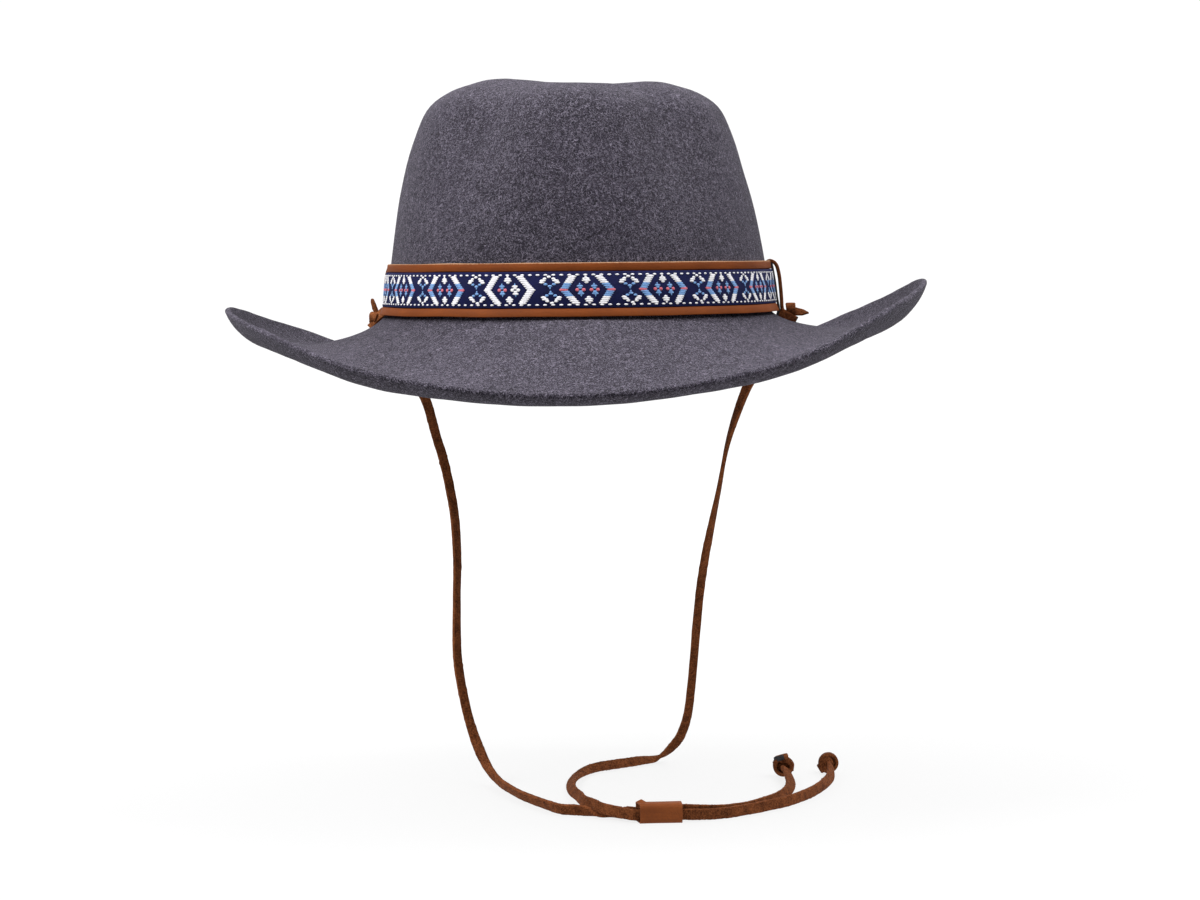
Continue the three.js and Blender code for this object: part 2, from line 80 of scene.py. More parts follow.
def skin(columns, rows, place):
    """A grid whose corners are moved to place(column, row), with the edges that meet joined."""
    bm = bmesh.new()
    bm.loops.layers.uv.new("surface")
    bmesh.ops.create_grid(bm, x_segments=columns, y_segments=rows, size=0.5, calc_uvs=True)
    for corner in bm.verts:
        column = round((corner.co.x + 0.5) * columns)
        row = round((corner.co.y + 0.5) * rows)
        corner.co = place(column, row)
    bmesh.ops.remove_doubles(bm, verts=bm.verts, dist=1e-6)
    bmesh.ops.recalc_face_normals(bm, faces=bm.faces)
    return bm


def piece(name, bm, materials, replaced=()):
    """Makes a piece of the hat from a mesh, with its materials, and takes it into the frame."""
    mesh = bpy.data.meshes.new(name)
    bm.to_mesh(mesh)
    bm.free()
    for material in materials:
        mesh.materials.append(material)
    mesh.shade_smooth()
    made = bpy.data.objects.new(name, mesh)
    bpy.context.scene.collection.objects.link(made)
    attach(made, "root")
    if replaced:
        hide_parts(*replaced)
    return made


def squared(value, power):
    """A sine or cosine pushed outwards, so that a circle drawn with it turns into a rounded box."""
    return math.copysign(abs(value) ** power, value)


def lace_strip(points, facings, width, thickness, closed=False, steps=4, widths=None, sides=20):
    """A flat strip of lace along points in millimetres; facings are the ways its flat side looks."""
    points = [Vector(point) for point in points]
    facings = [Vector(facing).normalized() for facing in facings]
    spans = len(points) if closed else len(points) - 1
    columns = spans * steps
    look_ahead = 0.02

    def kept_on(place):
        return place % len(points) if closed else min(max(place, 0), spans)

    rings = []
    for column in range(columns + 1):
        place = kept_on(column / steps)
        ahead = along_stops(points, kept_on(place + look_ahead), closed)
        behind = along_stops(points, kept_on(place - look_ahead), closed)
        tangent = (ahead - behind).normalized()
        facing = along_stops(facings, place, closed)
        facing = (facing - tangent * facing.dot(tangent)).normalized()
        share = along_stops(widths, place, closed) if widths else 1
        rings.append((along_stops(points, place, closed), facing, tangent.cross(facing), share))
    squareness = 0.34
    wave_size, wave_depth = 0.7, 0.14
    nick_size, nick_start, nick_depth = 1.9, 0.25, 0.5

    def place_corner(column, row):
        centre, facing, across, share = rings[column]
        turn = 2 * math.pi * row / sides
        flat = squared(math.sin(turn), squareness) * thickness / 2
        edge = squared(math.cos(turn), squareness) * width / 2 * share
        corner = centre + facing * flat + across * edge
        nick = max(0, noise.noise(corner * nick_size) - nick_start) * nick_depth
        rough = noise.noise(corner * wave_size) * wave_depth + nick
        return (corner + across * rough * math.copysign(1, edge)) * MM

    bm = skin(columns, sides, place_corner)
    if not closed:
        ends = [edge for edge in bm.edges if edge.is_boundary]
        bmesh.ops.holes_fill(bm, edges=ends, sides=sides)
        bmesh.ops.recalc_face_normals(bm, faces=bm.faces)
    return bm


class Wire:
    """A value inside a material, so that sums on it read as plain expressions."""

    def __init__(self, paint, socket):
        self.paint = paint
        self.socket = socket

    def sum_of(self, operation, first, second):
        return self.paint.node("ShaderNodeMath", {"operation": operation}, {0: first, 1: second})

    def __add__(self, other):
        return self.sum_of("ADD", self, other)

    def __radd__(self, other):
        return self.sum_of("ADD", other, self)

    def __sub__(self, other):
        return self.sum_of("SUBTRACT", self, other)

    def __rsub__(self, other):
        return self.sum_of("SUBTRACT", other, self)

    def __mul__(self, other):
        return self.sum_of("MULTIPLY", self, other)

    def __rmul__(self, other):
        return self.sum_of("MULTIPLY", other, self)

    def __pow__(self, other):
        return self.sum_of("POWER", self, other)

    def __abs__(self):
        return self.sum_of("ABSOLUTE", self, 0)

    def wave(self):
        return self.sum_of("SINE", self, 0)

    def between(self, low, high):
        """0 below low, 1 above high, and smooth in between; high may be the lower one."""
        settings = {"interpolation_type": "SMOOTHSTEP"}
        values = {"Value": self, "From Min": low, "From Max": high}
        return self.paint.node("ShaderNodeMapRange", settings, values)


class Paint:
    """A material under construction."""

    def __init__(self, name):
        self.material = bpy.data.materials.new(name)
        self.material.use_nodes = True
        self.tree = self.material.node_tree
        self.shader = self.tree.nodes["Principled BSDF"]
        coordinates = self.tree.nodes.new("ShaderNodeTexCoord")
        self.place = Wire(self, coordinates.outputs["Object"])
        self.surface = Wire(self, coordinates.outputs["UV"])

    def node(self, kind, settings, values, output=0):
        made = self.tree.nodes.new(kind)
        for key, value in settings.items():
            setattr(made, key, value)
        for key, value in values.items():
            self.feed(made.inputs[key], value)
        return Wire(self, made.outputs[output])

    def feed(self, socket, value):
        if isinstance(value, Wire):
            self.tree.links.new(value.socket, socket)
        elif isinstance(value, tuple) and len(value) == 3 and len(socket.default_value) == 4:
            socket.default_value = (*value, 1)
        else:
            socket.default_value = value

    def noise(self, scale, detail=2, rough=0.5, swirl=0, where=None):
        values = {"Vector": where or self.place, "Scale": scale, "Detail": detail, "Roughness": rough,
                  "Distortion": swirl}
        return self.node("ShaderNodeTexNoise", {}, values)

    def mix(self, factor, first, second):
        """The first colour where factor is 0 and the second where it is 1."""
        return self.node("ShaderNodeMix", {"data_type": "RGBA"}, {0: factor, 6: first, 7: second}, 2)

    def stretched(self, x, y, z):
        return self.node("ShaderNodeMapping", {}, {"Vector": self.place, "Scale": (x, y, z)})

    def part(self, vector, axis):
        """One of a vector's numbers: 0 is x, 1 is y, 2 is z."""
        return self.node("ShaderNodeSeparateXYZ", {}, {"Vector": vector}, axis)

    def bump(self, height, strength, distance, below=None):
        values = {"Height": height, "Strength": strength, "Distance": distance}
        if below:
            values["Normal"] = below
        return self.node("ShaderNodeBump", {}, values)

    def finish(self, values):
        for key, value in values.items():
            self.feed(self.shader.inputs[key], value)
        return self.material


def suede(name, dark, light):
    """Nap side of leather: matt, mottled, with a fine pile and slightly paler cut edges."""
    paint = Paint(name)
    patches = paint.noise(240, 3, 0.6)
    nap = paint.noise(1700, 3, 0.75)
    shade = (patches * 0.5 + nap * 1.2 - 0.35).between(0.25, 0.8)
    colour = paint.mix(shade, dark, light)
    round_strip = paint.part(paint.surface, 1)
    edge = abs((round_strip * (2 * math.pi) + math.pi / 2).wave()) ** 6
    paler = tuple(1.3 * part for part in light)
    colour = paint.mix(edge * 0.4 * patches, colour, paler)
    pile = paint.bump(nap, 0.6, 0.0004)
    soft = paint.bump(patches, 0.4, 0.0006, pile)
    return paint.finish({"Base Color": colour, "Roughness": 0.92 + nap * 0.06, "Normal": soft,
                         "Specular IOR Level": 0.08})


lace_suede = suede("lace_suede", dark=(0.04, 0.0105, 0.0033), light=(0.225, 0.071, 0.024))
lace_width = 4.6
lace_thickness = 1.9

# Rows of a route: x, y, z in millimetres, the way the flat side looks, in degrees from the front towards
# the right and in degrees up, and the share of the full width
right_route = [
    (92.05, -5.38, -5.23, 0, 0, 1), (90.62, -5.31, -8.55, 0, 0, 1), (88.2, -4, -11.2, -5, 0, 1),
    (84, -3, -17.5, -15, 0, 1), (79, -1.5, -25, -30, 0, 1), (74.4, 1, -33.2, -50, 0, 1),
    (69.7, 4.6, -45.7, -68, 0, 1), (65.5, 8.6, -60.4, -90, 0, 1), (62, 15, -80.3, -106, 0, 1),
    (59.4, 20, -94, -122, 0, 0.9), (55.9, 25, -113, -145, 0, 0.85), (53.5, 31, -131.8, -165, 0, 0.82),
    (50.5, 43.5, -170.1, -170, 0, 0.82), (48.6, 48.5, -186.8, -160, 8, 0.85),
    (45.6, 53, -197.1, -165, 10, 0.92),
    (42.4, 56, -202.3, -158, 18, 0.95), (38.2, 58, -206.7, -135, 48, 0.95), (33.7, 58, -209, 0, 82, 1),
    (29.8, 55.5, -209.1, 20, 64, 1), (25.9, 51.5, -208.8, 32, 54, 1), (21.9, 47.5, -208.7, 36, 50, 1),
    (16.1, 43.5, -208.7, 36, 48, 1), (12.3, 40.5, -208.7, 36, 48, 1), (6.5, 35.5, -208.7, 40, 52, 1),
    (1.5, 28.5, -209, 50, 66, 1), (-2.4, 19, -209.5, -50, 82, 1), (-4.6, 8, -209.6, -80, 66, 1),
    (-5.4, -3, -209.4, -88, 52, 1), (-5.2, -14.5, -209, -85, 40, 1), (-4.2, -25.5, -208.6, -80, 33, 1),
    (-1.9, -39, -207.8, -75, 26, 1), (0.2, -55.5, -206.8, -65, 18, 1), (4.3, -65.6, -206.4, -45, 12, 1),
    (6.8, -71.5, -206.6, -40, 8, 1), (10, -75, -206.9, -35, 5, 1), (15, -79, -207.2, -25, 3, 1),
    (18.2, -81.2, -207.6, -20, 0, 1), (22.5, -82.9, -207.85, -5, 0, 1), (32, -82.5, -207.85, 2, 0, 1),
    (41.5, -82, -207.85, 5, 0, 1), (49, -80.3, -208.3, 22, 0, 1), (57.5, -76.9, -208.6, 30, 0, 1),
    (70, -68.4, -208.6, 38, 0, 1), (79, -60.1, -208.6, 42, 0, 1), (88, -50.6, -208.6, 48, 0, 1),
    (98, -34, -208.6, 64, 2, 1), (103, -22.3, -208.6, 70, 5, 1), (106.8, -11, -208.6, 76, 12, 1),
    (109.9, 1, -208.6, 78, 22, 1), (111.4, 11, -208.3, 76, 28, 1), (112.1, 19.5, -207.5, 74, 28, 0.9),
    (112.3, 25, -206.8, 74, 28, 0.8),
]
left_route = [
    (-89.62, 26.62, -7.31, 0, 0, 1), (-87.77, 26.34, -10.38, 0, 0, 1), (-85, 31, -13, 0, 0, 1),
    (-80.5, 30.3, -20.5, 0, 0, 1), (-75, 29.8, -29, 5, 0, 1), (-69.2, 29.5, -39.9, 10, 0, 0.95),
    (-65.2, 28.5, -54.3, 15, 0, 0.9), (-61.7, 27.5, -66.2, 22, 0, 0.9), (-59, 26.5, -78.5, 30, 0, 0.9),
    (-56.8, 25.5, -92.8, 42, 0, 0.95), (-55.9, 24.5, -111.4, 55, 0, 1), (-56.3, 23.5, -129.4, 60, 0, 1),
    (-56.4, 22.5, -152.1, 45, 0, 0.95), (-55, 21.5, -165.6, 30, 0, 0.9), (-51.8, 20, -181.5, 10, 0, 0.9),
    (-47.6, 17, -194.5, -10, 0, 1), (-42.5, 10, -204, -35, -8, 1), (-37.1, -1.5, -208.2, -55, -16, 1),
    (-32.2, -17, -208.5, -65, -22, 1), (-26.6, -32.6, -208.5, -60, -24, 1),
    (-18.6, -48.5, -208.6, -50, -24, 1), (-10, -63.4, -208.6, -32, -18, 1),
    (-4, -65.9, -208.6, -22, -14, 1), (0.5, -67.8, -208.7, -12, -24, 1),
    (5, -69.2, -209.8, -15, -70, 1), (8, -70.4, -210.03, -20, -85, 1), (11.5, -71.6, -209.9, -35, -75, 1),
    (15, -74, -209, -45, -35, 1), (18.5, -77, -207.6, -30, -5, 1), (22.5, -80.2, -207.2, 0, 0, 1),
    (32, -79.9, -206.9, 2, 0, 1),
    (41.5, -79.5, -206.4, 5, 0, 1), (47, -78.4, -206.8, 15, 0, 1), (53, -75.3, -207.6, 28, 0, 1),
    (60, -71.2, -208.3, 36, 0, 1), (69, -64, -208.6, 42, 0, 1), (77, -54.2, -208.6, 50, 5, 1),
    (84.5, -41.5, -208.6, 62, 20, 1), (89.3, -27, -208.6, 70, 36, 1), (91.4, -14, -208.4, 72, 50, 1),
    (91.9, -3, -208, 70, 52, 1), (91.6, 8, -207.4, 60, 48, 1), (91, 16, -206.8, 50, 45, 0.9),
]


def hang_lace(side, route):
    """A lace along its route, with the line through its middle and its length, both in metres."""
    points = [Vector(row[:3]) for row in route]
    facings = []
    for row in route:
        compass, rise = math.radians(row[3]), math.radians(row[4])
        facings.append(Vector((math.sin(compass) * math.cos(rise), -math.cos(compass) * math.cos(rise),
                               math.sin(rise))))
    shares = [row[5] for row in route]
    bm = lace_strip(points, facings, lace_width, lace_thickness, steps=10, widths=shares)
    lace = piece(f"lace_{side}", bm, [lace_suede], [f"chin_lace_{side}"])
    line_steps = 4
    line = [along_stops(points, k / line_steps) * MM for k in range(line_steps * (len(points) - 1) + 1)]
    length = sum((after - before).length for before, after in zip(line, line[1:]))
    return lace, line, length


right_lace, right_line, right_length = hang_lace("right", right_route)
left_lace, left_line, left_length = hang_lace("left", left_route)

# Stopper knots
# The end of each lace is rolled round itself into a flat button about ten millimetres across.
# The lace goes into its middle, and the cut end of the left one sticks out at the top.


def rolled_button(centre, radius, start, turns, grow, lean):
    """The strip rolled up edge-on, seen from the front, starting at an angle in degrees."""
    points, facings = [], []
    stops_per_turn = 10
    count = round(turns * stops_per_turn)
    for k in range(count + 1):
        angle = math.radians(start + 360 * turns * k / count)
        reach = radius + grow * k / count
        outward = Vector((math.cos(angle), 0, math.sin(angle)))
        sway = Vector((0, lean * math.cos(angle), 0))
        points.append(centre + outward * reach + sway)
        facings.append(outward)
    return lace_strip(points, facings, lace_width, thickness=1.7, steps=3)


def add_mesh(bm, other):
    """Puts the mesh other into bm."""
    carrier = bpy.data.meshes.new("carrier")
    other.to_mesh(carrier)
    other.free()
    bm.from_mesh(carrier)
    bpy.data.meshes.remove(carrier)


# Near-black: the cut end of the left stopper's stub, and painted shade on the inner strand of each tie loop.
dark_end_and_shade = Paint("dark_cut_end_and_shade")
dark_end_and_shade.finish({"Base Color": (0.022, 0.02, 0.024), "Roughness": 0.8,
                 "Normal": dark_end_and_shade.bump(dark_end_and_shade.noise(1800, 2), 0.5, 0.0003)})


def packed_heart(centre, radius, depth):
    """What fills the roll: the strip folded into its middle, seen as one rough lump."""
    fold_depth, crumple_depth = 0.16, 0.05
    heart = bmesh.new()
    heart.loops.layers.uv.new("surface")
    bmesh.ops.create_icosphere(heart, subdivisions=4, radius=1, calc_uvs=True)
    for corner in heart.verts:
        way = corner.co.copy()
        crease = 1 + fold_depth * noise.noise(way * 2.6 + centre) + crumple_depth * noise.noise(way * 8)
        corner.co = (centre + Vector((way.x * radius, way.y * depth, way.z * radius)) * crease) * MM
    return heart


right_middle = Vector((111.9, 28.2, -206.5))
right_button = rolled_button(right_middle, radius=3.4, start=150, turns=1.3, grow=0.55, lean=0.5)
add_mesh(right_button, packed_heart(right_middle + Vector((-0.2, 0.1, 0)), radius=3.3, depth=2.3))
add_mesh(right_button, lace_strip(
    [right_middle + Vector(row) for row in ((1.2, -1.6, 1.6), (-0.6, -2.5, 1), (-2.2, -2.6, -0.4),
                                            (-3.4, -1.8, -1.9), (-3.9, 0, -2.9))],
    [(0.3, -1, 0.3), (0, -1, 0.2), (-0.2, -1, 0), (-0.7, -0.7, -0.3), (-1, 0, -0.6)], lace_width,
    thickness=1.2))
right_knot = piece("stopper_knot_right", right_button, [lace_suede], ["end_knot_right"])

left_middle = Vector((90.5, 20, -206.4))
left_button = rolled_button(left_middle, radius=3.5, start=40, turns=1.35, grow=0.5, lean=-0.4)
add_mesh(left_button, packed_heart(left_middle + Vector((0, 1.1, 0)), radius=3.2, depth=1.4))
add_mesh(left_button, lace_strip(
    [left_middle + Vector(row) for row in ((-1.4, -1.7, 3.2), (0.6, -2.2, 3.4), (2.6, -1.9, 2.6),
                                           (4, -0.8, 0.6), (4.2, 0.4, -1.6))],
    [(-0.2, -1, 0.6), (0, -1, 0.6), (0.5, -1, 0.5), (1, -0.5, 0), (1, 0, -0.3)], width=2.6,
    thickness=1.5))
stub_line = [(88.6, 17.4, -202.4), (89.6, 19.4, -202.2), (90.6, 21.6, -202.4)]
stub = lace_strip(stub_line, [(-0.35, 0, 1)] * len(stub_line), width=5.2, thickness=2.4)
stub_front = 18.5
for face in stub.faces:
    if len(face.verts) > 4 and face.calc_center_median().y < stub_front * MM:
        face.material_index = 1
add_mesh(left_button, stub)
left_knot = piece("stopper_knot_left", left_button, [lace_suede, dark_end_and_shade.material],
                  ["end_knot_left"])

# Slide
# A strip of smooth leather folded round both laces and glued to itself at the back, with a frayed corner.
# It is stiff enough to stay where it is pushed.


def leather(name, dark, light):
    """Grain side of leather: a little shiny, softly streaked and finely pitted."""
    paint = Paint(name)
    patches = paint.noise(45, 3, 0.55)
    fine = paint.noise(900, 3, 0.6)
    streaks = paint.noise(60, 3, 0.6, where=paint.stretched(1, 1, 12))
    shade = (patches * 0.6 + streaks * 0.35 + fine * 0.25 - 0.1).between(0.15, 0.85)
    colour = paint.mix(shade, dark, light)
    cells = {"feature": "F1", "voronoi_dimensions": "3D"}
    grain = paint.node("ShaderNodeTexVoronoi", cells, {"Vector": paint.place, "Scale": 1500})
    relief = paint.bump(grain, 0.22, 0.00025)
    relief = paint.bump(fine, 0.25, 0.0003, relief)
    return paint, colour, fine, relief


paint, colour, fine, relief = leather("slide_leather", dark=(0.13, 0.03, 0.005), light=(0.27, 0.07, 0.013))
slide_leather = paint.finish({"Base Color": colour, "Roughness": 0.55 + fine * 0.25, "Normal": relief,
                              "Specular IOR Level": 0.2})
slide_low = Vector((23.4, -85.6, -211.3))
slide_high = Vector((41, -77, -202.9))
slide_wall = 0.9
slide_turn = math.radians(2.6)
slant_cut = 1.4
frayed_corner, frayed_column = 1.1, 1
fold_middle = (slide_low + slide_high) / 2
fold_reach = (slide_high.z - slide_low.z - slide_wall) / 2
fold_turns, fold_start, fold_squareness = 1.12, math.radians(120), 0.36
overlap_rise = 0.48
mouth_depth, mouth_height = 0.125, 0.05
slide_columns, slide_rows = 12, 44
wrap = bmesh.new()
bmesh.ops.create_grid(wrap, x_segments=slide_columns, y_segments=slide_rows, size=0.5)
for corner in wrap.verts:
    column = round((corner.co.x + 0.5) * slide_columns)
    turned = (corner.co.y + 0.5) * fold_turns
    side = squared(math.cos(2 * math.pi * turned + fold_start), fold_squareness)
    up = squared(math.sin(2 * math.pi * turned + fold_start), fold_squareness)
    reach = fold_reach + overlap_rise * max(0, turned - 1) / (fold_turns - 1)
    mouth = (2 * corner.co.x) ** 2
    x = fold_middle.x + corner.co.x * (slide_high.x - slide_low.x)
    x -= slant_cut * (1 - side) / 2 * max(0, -2 * corner.co.x) ** 4
    y = fold_middle.y - side * (reach + mouth_depth * mouth)
    z = fold_middle.z + up * (reach + mouth_height * mouth)
    wobble = noise.noise(Vector((x, y, z)) * 0.25) * 0.18
    if side < 0 < up and column == frayed_column:
        z += frayed_corner
    corner.co = Vector((x, y + wobble, z)) * MM
bmesh.ops.rotate(wrap, verts=wrap.verts, cent=fold_middle * MM, matrix=Matrix.Rotation(slide_turn, 3, "Z"))
bmesh.ops.recalc_face_normals(wrap, faces=wrap.faces)
slide = piece("lace_slide", wrap, [slide_leather], ["cord_slide"])
wall = slide.modifiers.new("wall", "SOLIDIFY")
wall.thickness = slide_wall * MM
wall.offset = 0
soft_edge = slide.modifiers.new("soft_edge", "BEVEL")
soft_edge.width = 0.2 * MM
soft_edge.segments = 2
soft_edge.limit_method = "ANGLE"
soft_edge.angle_limit = math.radians(50)

# Felt body
# Crown and brim are one piece of wool felt 2.4 mm thick, blocked in steam over a form.
# The crown has a soft dent and two shallow pinches, the sides of the brim are rolled up by hand.
felt_wall, rim_nose = 2.4, 0.8
crown_top = 101
front_crest_dip = 3.5
back_crest_dip = 1
crest_tilt = 0.8
dent_depth = 26
dent_bank = 0.66
brim_half_width, brim_front, brim_back, brim_shift = 151, 171, 169, -0.9
brim_foot = 0.1
pinch_depth, pinch_angle, pinch_spread, pinch_low, pinch_high = 8, 37, 19, 24, 84

# Crown sections from the base up: height, half width, front, back, sideways shift
crown_sections = [Vector(row) for row in [
    (0, 84.8, 102.5, 102.5, 0), (22, 82, 98.5, 99, 0), (45, 78.2, 93, 95, -0.6), (65, 73.4, 87, 90.5, -1.2),
    (80, 68.4, 81, 85.5, -1.2), (90, 63, 75.5, 80, -1), (96, 54.2, 69, 73, -0.8),
    (99.2, 45.2, 61, 66, -0.6), (100.6, 39.5, 56, 61.5, -0.5), (101, 34, 51, 57, -0.4)]]
# Brim sections every 30 degrees from the right side round by the back: fall below the band, belly,
# how far out the belly lies, height of the rim, and how much the outer fifth is rolled up
brim_sections = [Vector(row) for row in [
    (7, 18, 0.87, 13, 0), (8, 20, 0.8, -1.5, 3), (6, 24, 0.7, -25, 6), (3, 20, 0.6, -29, 8),
    (6, 26, 0.7, -27.5, 6), (9, 26, 0.8, -7.5, 3), (11.5, 24, 0.87, 3.4, 0), (10.5, 23.5, 0.8, -3.2, 2),
    (8, 32, 0.75, -20.5, 5), (3, 24, 0.6, -27.6, 8), (7, 29, 0.75, -18.5, 4), (9.5, 20, 0.8, 4, 2)]]
lip_start = 0.8


def smooth_step(value):
    t = min(max(value, 0), 1)
    return t * t * (3 - 2 * t)


def oval(angle, half_width, front, back, shift):
    reach = front if math.sin(angle) < 0 else back
    return half_width * math.cos(angle) + shift, reach * math.sin(angle)


def degrees_from(angle, degrees):
    """How far an angle in radians lies from one in degrees, between -180 and 180 degrees."""
    return (math.degrees(angle) - degrees + 540) % 360 - 180


def crest_dip(angle):
    """How much lower the crest lies at an angle: at the front, a little at the back, and to the right."""
    along = math.sin(angle)
    dip = front_crest_dip if along < 0 else back_crest_dip
    return dip * along * along + crest_tilt * math.cos(angle)


def crown_point(angle, place):
    height, half_width, front, back, shift = along_stops(crown_sections, place)
    x, y = oval(angle, half_width, front, back, shift)
    away = (abs(degrees_from(angle, 270)) - pinch_angle) / pinch_spread
    rise = smooth_step((height - pinch_low) / (pinch_high - pinch_low))
    push = 1 - pinch_depth * math.exp(-away * away) * rise / math.hypot(x, y)
    return Vector((x * push, y * push, height - crest_dip(angle) * (height / crown_top) ** 2))


def dent_point(angle, inward):
    crest = crown_point(angle, len(crown_sections) - 1)
    height = crown_top - crest_dip(angle) * (1 - inward) - dent_depth * smooth_step(inward / dent_bank)
    return Vector((crest.x * (1 - inward), crest.y * (1 - inward), height))


def brim_point(angle, along):
    """A point of the brim, on a curve from the crown's foot over its belly to the rim."""
    section = math.degrees(angle) / 360 * len(brim_sections)
    fall, belly, turn, rim, lip = along_stops(brim_sections, section, closed=True)
    near = 3 * along * (1 - along) ** 2
    far = 3 * along ** 2 * (1 - along)
    end = along ** 3
    out = near * brim_foot + far * turn + end
    rolled = max(0, (out - lip_start) / (1 - lip_start))
    height = -near * fall - far * belly + end * (rim - lip) + lip * rolled ** 2
    base = crown_point(angle, 0)
    rim_x, rim_y = oval(angle, brim_half_width, brim_front, brim_back, brim_shift)
    return Vector((base.x + (rim_x - base.x) * out, base.y + (rim_y - base.y) * out, height))


def felt_point(angle, down):
    """A point of the outer face; down is 0 to 1 in the dent, 1 to 2 on the crown and 2 to 3 on the brim."""
    angle %= 2 * math.pi
    if down < 1:
        return dent_point(angle, 1 - down)
    if down < 2:
        return crown_point(angle, (2 - down) * (len(crown_sections) - 1))
    return brim_point(angle, min(down - 2, 1))


felt_columns = 240
dent_rows, crown_rows, brim_rows = 12, 36, 34
felt_rows = [k / dent_rows for k in range(dent_rows)]
felt_rows += [1 + k / crown_rows for k in range(crown_rows)]
felt_rows += [2 + k / brim_rows for k in range(brim_rows + 1)]
calm_by_band, calm_fade = 0.12, 0.2


def felt_faces():
    """Points and outward directions of the outer face, row by row, with the soft unevenness of felt."""
    grid = []
    for down in felt_rows:
        grid.append([felt_point(2 * math.pi * c / felt_columns, down) for c in range(felt_columns)])
    facing = []
    for r, row in enumerate(grid):
        below = grid[min(r + 1, len(grid) - 1)]
        above = grid[max(r - 1, 0)]
        line = []
        for c in range(felt_columns):
            across = row[(c + 1) % felt_columns] - row[c - 1]
            line.append((below[c] - above[c]).cross(across).normalized() if r else Vector((0, 0, 1)))
        facing.append(line)
    for r, row in enumerate(grid):
        away_from_band = smooth_step((abs(felt_rows[r] - 2) - calm_by_band) / calm_fade) if r else 1
        for c, point in enumerate(row):
            wide_dents = noise.noise(point * 0.022) * 0.3
            small_dents = noise.noise(point * 0.07 + Vector((9, 4, 2))) * 0.3
            row[c] = point + facing[r][c] * (wide_dents + small_dents) * away_from_band
    return grid, facing


felt_grid, felt_facing = felt_faces()
rim_turns = [30, 60, 90, 120, 150]
felt_profile = [(r, 0) for r in range(len(felt_rows))]
felt_profile += [(len(felt_rows) - 1, turn) for turn in rim_turns]
felt_profile += [(r, 180) for r in reversed(range(len(felt_rows)))]


def felt_corner(column, row):
    """Outer face, then half round the cut edge of the rim, then back along the inner face."""
    c = column % felt_columns
    r, turn = felt_profile[row]
    point, facing = felt_grid[r][c], felt_facing[r][c]
    if r == 0:
        return (Vector((0, 0, point.z)) - facing * (felt_wall if turn else 0)) * MM
    half = felt_wall / 2
    middle = point - facing * half
    outward = (point - felt_grid[r - 1][c]).normalized()
    rim = math.radians(turn)
    fuzz = noise.noise(middle * 0.5) * 0.15 if 0 < turn < 180 else 0
    return (middle + facing * half * math.cos(rim) + outward * (rim_nose + fuzz) * math.sin(rim)) * MM


dark_wool, light_wool = (0.0108, 0.0089, 0.0144), (0.022, 0.0185, 0.0282)
# The second colour on the next line is near-black painted shade for the gaps between the fibres.
pale_fibre, gap_shade = (0.193, 0.173, 0.222), (0.003, 0.0025, 0.004)
felt = Paint("wool_felt")
clouds = felt.noise(26, 3, 0.55)
clumps = felt.noise(150, 2, 0.6, 0.6)
long_curls = felt.noise(430, 1, 0.5, 1.6)
short_curls = felt.noise(640, 1, 0.5, 2.2, felt.stretched(1, 1, 0.75))
gaps = felt.noise(560, 1, 0.5, 2, felt.stretched(0.8, 1, 1))
pile = felt.noise(2000, 1, 0.6)
shade = (clouds * 0.6 + clumps * 0.4).between(0.32, 0.68)
colour = felt.mix(shade, dark_wool, light_wool)
pale = (abs(long_curls - 0.5).between(0.05, 0.005) * 0.5
        + abs(short_curls - 0.5).between(0.05, 0.005) * 0.5)
colour = felt.mix(pale * (0.5 + pile * 1.1), colour, pale_fibre)
# Painted shade: near-black in the gaps between fibres, where the bump below also sinks the surface.
gap_shade_mask = abs(gaps - 0.5).between(0.05, 0.01)
colour = felt.mix(gap_shade_mask * 0.9, colour, gap_shade)
relief = felt.bump(pile, 0.5, 0.0004)
relief = felt.bump(pale - gap_shade_mask, 0.5, 0.0005, relief)
relief = felt.bump(clumps, 0.3, 0.0012, relief)
wool = felt.finish({"Base Color": colour, "Roughness": 0.95, "Normal": relief,
                    "Specular IOR Level": 0.12, "Sheen Weight": 0.08, "Sheen Roughness": 0.5,
                    "Sheen Tint": (0.8, 0.77, 0.88)})
body = skin(felt_columns, len(felt_profile) - 1, felt_corner)
piece("felt_crown_and_brim", body, [wool], ["felt_body"])

# Leather band
# A strap of smooth brown leather glued round the foot of the crown, with a raw and slightly paler top edge.
# It stands out where the lace is tied round it, and is pared where the ribbon lies in it.
band_low, band_high, band_back = 0.1, 22, 0.1
ribbon_low, ribbon_high = 3.6, 18.4
leather_thickness, foot_flare = 1.5, 1.2
tie_angles = {"right": 357.2, "left": 166}
tie_bulge, bulge_flat, bulge_foot = 0.9, 3, 12
wall_steps = 1440
wall_foot = [crown_point(2 * math.pi * k / wall_steps, 0) for k in range(wall_steps)]
wall_top = [crown_point(2 * math.pi * k / wall_steps, 1) for k in range(wall_steps)]


def wall_frame(angle):
    """Foot of the crown's lower wall at an angle, its lean per millimetre of height, and the way out."""
    place = angle / (2 * math.pi) * wall_steps
    k = math.floor(place)
    t = place - k
    foot = wall_foot[k % wall_steps].lerp(wall_foot[(k + 1) % wall_steps], t)
    top = wall_top[k % wall_steps].lerp(wall_top[(k + 1) % wall_steps], t)
    along = wall_foot[(k + 2) % wall_steps] - wall_foot[(k - 1) % wall_steps]
    return foot, (top - foot) / top.z, Vector((along.y, -along.x, 0)).normalized()


def beside_wall(angle, height, offset):
    """A point at a height and a distance out from the crown's wall, pushed out further by the ties."""
    foot, lean, outward = wall_frame(angle)
    bulge = 0
    for tie in tie_angles.values():
        away = abs(degrees_from(angle % (2 * math.pi), tie))
        bulge = max(bulge, tie_bulge * smooth_step((bulge_foot - away) / (bulge_foot - bulge_flat)))
    return foot + lean * height + outward * (offset + bulge)


